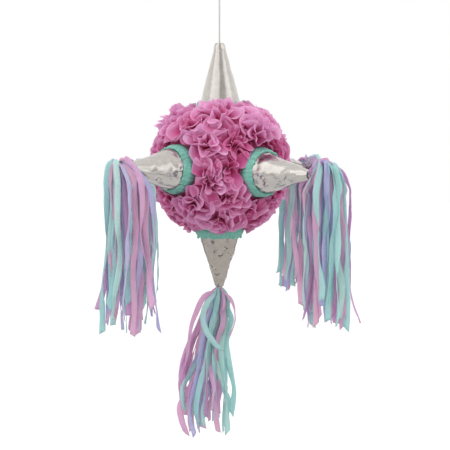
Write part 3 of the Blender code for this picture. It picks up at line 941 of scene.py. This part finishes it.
def strip(grids, rng, route, look, side, twist, end_slant):
    """A strip of tissue along a route: gathered at the neck, then opening out, turning and creased."""
    route = smooth_route(route, STRIP_STEP)
    ahead, across, out = route_frames(route, side)
    run = run_along(route)
    share = run / run[-1]
    turn = twist * np.clip((run - 0.03) / 0.25, 0, 1.3)
    turn = turn + waves(rng, run, (0.11, 0.19), 0.45) * np.minimum(1, run / 0.05)
    wide = np.cos(turn)[:, None] * across + np.sin(turn)[:, None] * out
    face = np.cross(ahead, wide)
    opened = smooth_rise((run - 0.004) / NECK_LONG)
    half = STRIP_WIDTH / 2 * rng.uniform(0.92, 1.06) * (0.24 + 0.76 * opened)
    half = half * (1 + 0.05 * waves(rng, run, (0.05, 0.083)))
    u = np.linspace(-1, 1, 5)
    # a crease down the middle, and a ridge that moves from side to side
    crease = (0.22 + 0.5 * (1 - opened)) * (0.6 + 0.8 * rng.random()) + waves(rng, run, (0.07, 0.043), 0.16)
    ridge = waves(rng, run, (0.09, 0.061), 1.0)
    bend = crease[:, None] * (np.abs(u) - 0.5) + 0.12 * ridge[:, None] * np.sin(math.pi * u)
    bend = bend * half[:, None] * (1 if rng.random() < 0.5 else -1)
    mid = route[:, None] + (half[:, None] * u)[..., None] * wide[:, None] + bend[..., None] * face[:, None]
    slant = end_slant * u * np.clip((share - 0.9) / 0.1, 0, 1)[:, None]
    mid = mid + slant[..., None] * ahead[:, None]
    off = STRIP_THICKNESS / 2 * face[:, None]
    loop = np.concatenate([mid + off, (mid - off)[:, ::-1]], 1)
    # edge places the tissue's painted highlight along the strip's edges and at its cut end.
    edge = np.concatenate([np.abs(u), np.abs(u[::-1])])[None, :]
    edge = np.maximum(edge, (share > 0.995)[:, None] * 1.0) ** 3
    grids.add(loop, look=look, ring=True, caps=True, tone=rng.random(), edge=edge)


# each side tassel: how many strips it has; where their middle is, out from the hinge and to one side; how
# far they spread those two ways; the least and the most that they arch over the tip; and their spread at the
# ends, as a part of the rest
SIDE_TASSELS = {
    "front_left": (38, (-0.0185, 0.0185), (0.056, 0.054), (0.004, 0.016), 0.96),
    "front_right": (38, (0.004, 0.004), (0.054, 0.053), (0.008, 0.026), 1.06),
    "back_left": (30, (-0.008, -0.008), (0.043, 0.044), (0.004, 0.016), 1.06),
    "back_right": (32, (-0.018, 0.018), (0.047, 0.048), (0.006, 0.022), 1.06),
}
STRIP_MIX = (MINT, PINK, LAVENDER, PINK, MINT, LAVENDER, PINK, MINT, PINK)


def fall(rng, at, x, y, length, spread, end_way):
    """The hanging part of a strip: it opens away from the middle, wavers, and its end curls out."""
    drift = rng.normal(size=2) * 0.007
    curl = max(0.0, rng.normal()) * 0.010
    rows = []
    sway = rng.uniform(0, 2 * math.pi, 4)
    for s in np.linspace(0.14, 1.0, LOW_PARTS):
        open_out = np.interp(s, (0.0, 0.3, 1.0), (0.9, 1.0, spread))
        end = curl * max(0.0, (s - 0.72) / 0.28) ** 2
        side_x = 0.0035 * math.sin(5.0 * s + sway[0]) + 0.0022 * math.sin(13.0 * s + sway[1])
        side_y = 0.0035 * math.sin(6.0 * s + sway[2]) + 0.0022 * math.sin(12.0 * s + sway[3])
        ease = min(1.0, s / 0.4)
        low_x = x * open_out + drift[0] * s + ease * side_x + end * math.cos(end_way)
        low_y = y * open_out + drift[1] * s + ease * side_y + end * math.sin(end_way)
        rows.append(at(low_x, low_y, -length * s))
    return rows


def twist_of(rng):
    """Most strips turn a little as they hang, and some turn right over."""
    return rng.choice((-1, 1)) * (rng.uniform(2.2, 4.0) if rng.random() < 0.35 else rng.uniform(0.2, 1.6))


def place_in_bundle(rng, k, count, least):
    """Which way from the bundle's middle a strip goes, and how far of the whole way, from 0 to 1."""
    turn = 2 * math.pi * (k * GOLDEN_TURN + 0.1 * rng.random())
    return turn, math.sqrt((k + 0.6) / count) * rng.uniform(least, 1.0)


def side_tassel(which, looks, seed):
    """Strips that lie over the cone's tip and hang down all round it."""
    rng = np.random.default_rng(seed)
    cone = CONE[which]
    hinge = joint_place(f"tassel_swing_{which}")
    low = float(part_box(f"tassel_{which}")[0].z)
    count, middle, spread, arches, flare = SIDE_TASSELS[which]
    out = unit(cone.axis * (1, 1, 0))
    side = np.cross(UP, out)
    neck = BALL + cone.axis * (cone.tip + NECK_PAST)

    def at(x, y, z):
        return hinge + x * out + y * side + z * UP

    grids = Grids()
    for k in range(count):
        turn, reach = place_in_bundle(rng, k, count, 0.88)
        x = middle[0] + spread[0] * reach * math.cos(turn)
        y = middle[1] + spread[1] * reach * math.sin(turn)
        arch = rng.uniform(*arches) * (0.5 + 0.7 * reach)
        start = neck + NECK_R * rng.random() ** 0.5 * (math.cos(turn) * side + math.sin(turn) * UP)
        ahead = start + 0.009 * out + 0.004 * math.cos(turn) * side + (0.003 + 0.3 * arch) * UP
        # strips that hang back beside the cone first go out past the tip and round
        top = at(0.45 * max(x, -0.012) + 0.004, 0.5 * y, arch)
        shoulder = at(0.85 * max(x, -0.02) + 0.1 * x, 0.9 * y, -0.018 - 0.010 * rng.random())
        length = abs(low - hinge[2]) * (1 - 0.25 * rng.random() ** 1.7 - 0.012)
        falls = fall(rng, at, x, y, length, flare, turn)
        look = MINT if x > 0.75 * spread[0] else STRIP_MIX[k % len(STRIP_MIX)]
        width_way = unit(rng.normal() * 0.6 * side + out * rng.normal() + 0.2 * UP)
        route = [start, ahead, top, shoulder, *falls]
        strip(grids, rng, route, look, width_way, twist_of(rng), rng.uniform(-STRIP_SLANT, STRIP_SLANT))
    made = grids.build(f"strips_{which}", *looks)
    start, end = hinge - 0.004 * UP, hinge - 0.040 * UP
    tuple(start)
    tuple(end)
    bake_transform(made)
    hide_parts(f"tassel_{which}")


BOTTOM_STRIPS = 38
# at parts of the bottom tassel's length down: how far its strips spread, and how far they lean to the left
BOTTOM_DOWN = (0.0, 0.16, 0.34, 0.47, 0.68, 0.82, 1.0)
BOTTOM_SPREAD = (0.028, 0.038, 0.042, 0.050, 0.064, 0.070, 0.062)
BOTTOM_LEAN = (0.0, 0.008, 0.022, 0.026, 0.031, 0.034, 0.024)
BOTTOM_BULGE = 0.026
BOTTOM_LOOP = ((0.25, 0.0155), (0.55, 0.010), (0.85, -0.004), (1.05, -0.026))  # out over the tip, then down
ONE_COLOUR_PAST = (0.55, -0.60)  # the strips furthest right are all mint, and those furthest left all pink
# strips that stand away from the rest at the neck: material, which way their width lies, how much they
# twist, and places right, back and up from the hinge
BOTTOM_LOOSE = (
    (MINT, (1.0, 0.0, 0.0), 0.4, (
        (-0.012, -0.016, 0.002), (-0.026, -0.036, -0.014), (-0.033, -0.044, -0.040),
        (-0.027, -0.052, -0.066), (-0.012, -0.056, -0.090), (0.003, -0.054, -0.108),
    )),
    (PINK, (0.3, 1.0, 0.0), 0.3, (
        (0.011, -0.010, 0.006), (0.024, -0.016, -0.006), (0.032, -0.018, -0.030),
        (0.032, -0.018, -0.056), (0.021, -0.020, -0.084),
    )),
    (PINK, (1.0, 0.0, 0.0), 1.6, (
        (-0.012, -0.006, 0.008), (-0.030, -0.012, 0.000), (-0.044, -0.016, -0.026),
        (-0.058, -0.018, -0.064), (-0.064, -0.014, -0.110), (-0.074, -0.012, -0.160),
    )),
)


def bottom_look(k, way):
    """The material of a strip. way is how far right it hangs, from -1 to 1."""
    if way > ONE_COLOUR_PAST[0]:
        return MINT
    if way < ONE_COLOUR_PAST[1]:
        return PINK
    return STRIP_MIX[(k + 3) % len(STRIP_MIX)]


def bottom_fall(rng, at, wide, reach, length):
    """The hanging part of a bottom strip. Some cross over to the other side on the way down."""
    across = rng.random() < 0.3
    drift = rng.normal(size=2) * 0.006
    sway = rng.uniform(0, 2 * math.pi, 2)
    falls = []
    for s in np.linspace(0.2, 1.0, LOW_PARTS):
        spread = np.interp(s, BOTTOM_DOWN, BOTTOM_SPREAD) * reach * (min(1, 2.5 * s - 1) if across else 1)
        wander = np.array((math.sin(7 * s + sway[0]), math.sin(8 * s + sway[1]))) * 0.0035
        falls.append(at(*(spread * wide + drift * s + wander), -length * s))
    return falls


def bottom_tassel(looks, seed):
    """Strips that bulge out over the tip and hang down in a bundle, with a few loose ones at the neck."""
    rng = np.random.default_rng(seed)
    hinge = joint_place("tassel_swing_bottom")
    low = float(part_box("tassel_bottom")[0].z)
    neck = BALL + CONE["bottom"].axis * (CONE["bottom"].tip + NECK_PAST)
    full = abs(low - hinge[2])

    def at(x, y, z):
        lean = np.interp(-z / full, BOTTOM_DOWN, BOTTOM_LEAN)
        return hinge + (x - lean) * RIGHT + y * BACK + z * UP

    grids = Grids()
    for k in range(BOTTOM_STRIPS):
        turn, reach = place_in_bundle(rng, k, BOTTOM_STRIPS, 0.85)
        wide = np.array((math.cos(turn), 0.85 * math.sin(turn)))
        length = full * (1 - 0.30 * rng.random() ** 1.2 * (0.4 + 0.6 * reach) - 0.012)
        start = neck + NECK_R * rng.random() ** 0.5 * (wide[0] * RIGHT + wide[1] * BACK)
        bulge = BOTTOM_BULGE * reach * rng.uniform(0.8, 1.1)
        loop = [at(*(part * bulge * wide), z) for part, z in BOTTOM_LOOP]
        route = [start, *loop, *bottom_fall(rng, at, wide, reach, length)]
        width_way = unit(rng.normal() * RIGHT + rng.normal() * BACK * 0.7)
        look = bottom_look(k, wide[0] * reach)
        strip(grids, rng, route, look, width_way, twist_of(rng), rng.uniform(-STRIP_SLANT, STRIP_SLANT))
    for look, width_way, twist, places in BOTTOM_LOOSE:
        route = [neck, *(hinge + np.array(place) for place in places)]
        strip(grids, rng, route, look, np.array(width_way), twist, 0.006)
    made = grids.build("strips_bottom", *looks)
    start, end = hinge + 0.008 * UP, hinge - 0.032 * UP
    tuple(start)
    tuple(end)
    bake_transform(made)
    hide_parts("tassel_bottom")


THREAD_R = 0.00042
THREAD_TURNS = 4.5
THREAD_RING_R = 0.0053
# the gathered neck under the thread: radius, and distance past the cone's tip
NECK = ((0.0042, 0.0004), (0.0052, 0.0008), (0.0050, 0.0022), (0.0052, 0.0036), (0.0040, 0.0039))


def tie(which, looks):
    """Turns of thread wound tight round the gathered neck of a tassel."""
    cone = CONE[which]
    t = np.linspace(0, 2 * math.pi * THREAD_TURNS, 110)
    route = cone.place(np.full(len(t), THREAD_RING_R), t, cone.tip + 0.0009 + 0.0026 * t / t[-1])
    thread = tube(route, cone.axis, np.full((len(t), 6), THREAD_R))
    turn = around(20)
    gathers = 1 + 0.05 * np.sin(8 * turn)
    core = np.stack([cone.place(r * gathers, turn, np.full(len(turn), cone.tip + z)) for r, z in NECK])
    grids = Grids()
    grids.add(thread, ring=True, caps=True, tone=0.0, edge=0.0)
    grids.add(core, look=1, ring=True, caps=True, tone=0.5, edge=0.0)
    made = grids.build(f"tie_{which}", *looks)
    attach(made, "pinata")
    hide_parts(f"tassel_tie_{which}")


# ------------------------ carried-over CAD nodes
CARRIED_SHARP = math.radians(35.0)


def carried_over():
    """Finishes for the CAD nodes that nothing here replaces: the pinata's inside, and the flap's card."""
    finishes = {
        papier_mache: ("ball_shell", "fill_flap"),
        bare_wood: ("anchor_dowel",),
        kraft_tape: ("flap_tape_upper", "flap_tape_lower"),
        string_look: ("anchor_knot",),
        grey_card: tuple(f"cone_core_{which}" for which in CONES),
    }
    for maker, names in finishes.items():
        finish = maker()
        for name in names:
            mesh = frame["nodes"][name].data
            mesh.materials.clear()
            mesh.materials.append(finish)
            mesh.shade_smooth()
            mesh.set_sharp_from_angle(angle=CARRIED_SHARP)


# ------------------------ stage, light, camera
VIEW_AZIMUTH, VIEW_ELEVATION, VIEW_DISTANCE = 1.2, 3.5, 3.5  # degrees, degrees, metres
LENS_MM, SENSOR_MM = 135.0, 36.0
AIM_RIGHT, AIM_DROP = 0.0114, 0.114  # what the camera looks at, from the ball's middle

FLOOR_DROP = 0.19
FLOOR_R = 14.0
FLOOR_SIDES = 64
FLOOR_LIT = (0.45, 0.22)  # extra light from the floor, as seen straight and as reflected in the foil
WORLD_LIGHT = 1.55
# grey levels of the room, from straight down (0) or in front (0) to straight up (1) or behind (1)
LIGHT_BY_HEIGHT = ((0.30, 0.37, 0.36, 0.37), (0.50, 0.57, 0.57, 0.57), (0.75, 0.76, 0.76, 0.76))
REFLECTED_BY_HEIGHT = (
    (0.30, 0.28, 0.27, 0.26), (0.46, 0.46, 0.45, 0.44), (0.56, 0.80, 0.79, 0.78), (0.72, 0.70, 0.69, 0.68),
)
REFLECTED_BY_DEPTH = ((0.04, 0.50, 0.49, 0.48), (0.22, 0.80, 0.79, 0.78), (0.45, 1.0, 1.0, 1.0))
KEY_LIGHT = dict(place=(-1.4, -2.2, 2.2), size=(3.4, 3.4), power=27.0)
FILL_LIGHT = dict(place=(2.6, -1.3, 0.7), size=(1.8, 3.2), power=10.0)
LIGHTS_AIM_DROP = 0.1  # below the ball's middle


def stage():
    """A plain pale floor below the pinata."""
    mesh = bpy.data.meshes.new("floor")
    z = float(CAD_BOX[0].z) - FLOOR_DROP
    ring = [(FLOOR_R * math.cos(t), FLOOR_R * math.sin(t), z) for t in around(FLOOR_SIDES)]
    mesh.from_pydata(ring, [], [range(FLOOR_SIDES)])
    floor = bpy.data.objects.new("floor", mesh)
    bpy.context.scene.collection.objects.link(floor)
    look = Look("floor")
    tone = look.ramp(look.noise(3.0), (0.3, srgb(192, 192, 191)), (0.7, srgb(198, 198, 197)))
    ray = look.node("ShaderNodeLightPath").outputs
    lit = look.add(look.times(ray["Is Camera Ray"], FLOOR_LIT[0]), ray["Is Glossy Ray"], FLOOR_LIT[1])
    look.set(Base_Color=tone, Roughness=0.8, Emission_Color=(1.0, 1.0, 1.0, 1.0), Emission_Strength=lit)
    mesh.materials.append(look.made)


def area_light(name, place, size, power):
    """A soft light at this place from what it aims at, a little below the ball's middle."""
    data = bpy.data.lights.new(name, "AREA")
    data.shape = "RECTANGLE"
    data.size, data.size_y = size
    data.energy = power
    light = bpy.data.objects.new(name, data)
    aim = Vector(BALL) - LIGHTS_AIM_DROP * Vector(UP)
    light.location = aim + Vector(place)
    light.rotation_mode = "QUATERNION"
    light.rotation_quaternion = (aim - light.location).to_track_quat("-Z", "Y")
    bpy.context.scene.collection.objects.link(light)


def room_levels(nodes, way, stops):
    """The room's grey levels by one part of the direction looked in, which runs from -1 to 1."""
    half = nodes.node("ShaderNodeMapRange", {"Value": way, "From Min": -1.0}).outputs["Result"]
    return nodes.ramp(half, *((at, (*level, 1.0)) for at, *level in stops))


def studio():
    """A softly lit white room, plain to the camera. Its grey parts show only as reflections in the foil."""
    world = bpy.data.worlds.new("studio")
    bpy.context.scene.world = world
    world.use_nodes = True
    nodes = Nodes(world.node_tree)
    way = nodes.node("ShaderNodeTexCoord").outputs["Generated"]
    split = nodes.node("ShaderNodeSeparateXYZ", {"Vector": way}).outputs
    ray = nodes.node("ShaderNodeLightPath").outputs
    by_height = room_levels(nodes, split["Z"], REFLECTED_BY_HEIGHT)
    by_depth = room_levels(nodes, split["Y"], REFLECTED_BY_DEPTH)
    reflected = nodes.mix(1.0, by_height, by_depth, "MULTIPLY")
    shone = room_levels(nodes, split["Z"], LIGHT_BY_HEIGHT)
    white = (*[1.0 / WORLD_LIGHT] * 3, 1.0)  # which the light's strength brings up to 1
    colour = nodes.mix(ray["Is Camera Ray"], nodes.mix(ray["Is Glossy Ray"], shone, reflected), white)
    background = nodes.tree.nodes["Background"]
    nodes.put(background, "Color", colour)
    nodes.put(background, "Strength", WORLD_LIGHT)
    area_light("key", **KEY_LIGHT)
    area_light("fill", **FILL_LIGHT)
    bpy.context.scene.view_settings.view_transform = "Standard"


def camera():
    azimuth, elevation = math.radians(VIEW_AZIMUTH), math.radians(VIEW_ELEVATION)
    level = Vector((math.sin(azimuth), -math.cos(azimuth), 0.0))
    back = math.cos(elevation) * level + math.sin(elevation) * Vector(UP)
    right = Vector((math.cos(azimuth), math.sin(azimuth), 0.0))
    data = bpy.data.cameras.new("camera")
    data.lens, data.sensor_width = LENS_MM, SENSOR_MM
    data.clip_end = 100.0
    made = bpy.data.objects.new("camera", data)
    made.location = Vector(BALL) + AIM_RIGHT * right - AIM_DROP * Vector(UP) + VIEW_DISTANCE * back
    made.rotation_mode = "QUATERNION"
    made.rotation_quaternion = (-back).to_track_quat("-Z", "Y")
    bpy.context.scene.collection.objects.link(made)
    bpy.context.scene.camera = made


# ------------------------ the whole scene
def build():
    camera()
    stage()
    studio()
    string = string_look()
    hanging_string(string)
    carried_over()
    foil = silver_foil("silver_foil", srgb(186, 182, 178), srgb(196, 193, 189))
    # A darker copy of the foil for the bottom cone: painted shade for its place under the ball.
    shaded_foil = silver_foil("silver_foil_painted_shade", srgb(162, 155, 148), srgb(172, 166, 159))
    crepe = mint_crepe()
    for number, which in enumerate(CONES):
        foil_cone(which, shaded_foil if which == "bottom" else foil, seed=100 + number)
        crepe_collar(which, crepe, seed=200 + number)
    gathered_tissue(petal_tissue())
    strips = (
        strip_tissue("strip_mint", srgb(200, 236, 236), srgb(222, 246, 240)),
        strip_tissue("strip_lavender", srgb(214, 212, 242), srgb(228, 226, 244)),
        strip_tissue("strip_pink", srgb(236, 202, 234), srgb(246, 212, 230)),
    )
    for number, which in enumerate(SIDE_CONES):
        side_tassel(which, strips, seed=300 + number)
    bottom_tassel(strips, seed=310)
    for which in TASSELS:
        tie(which, (string, strips[PINK]))


build()
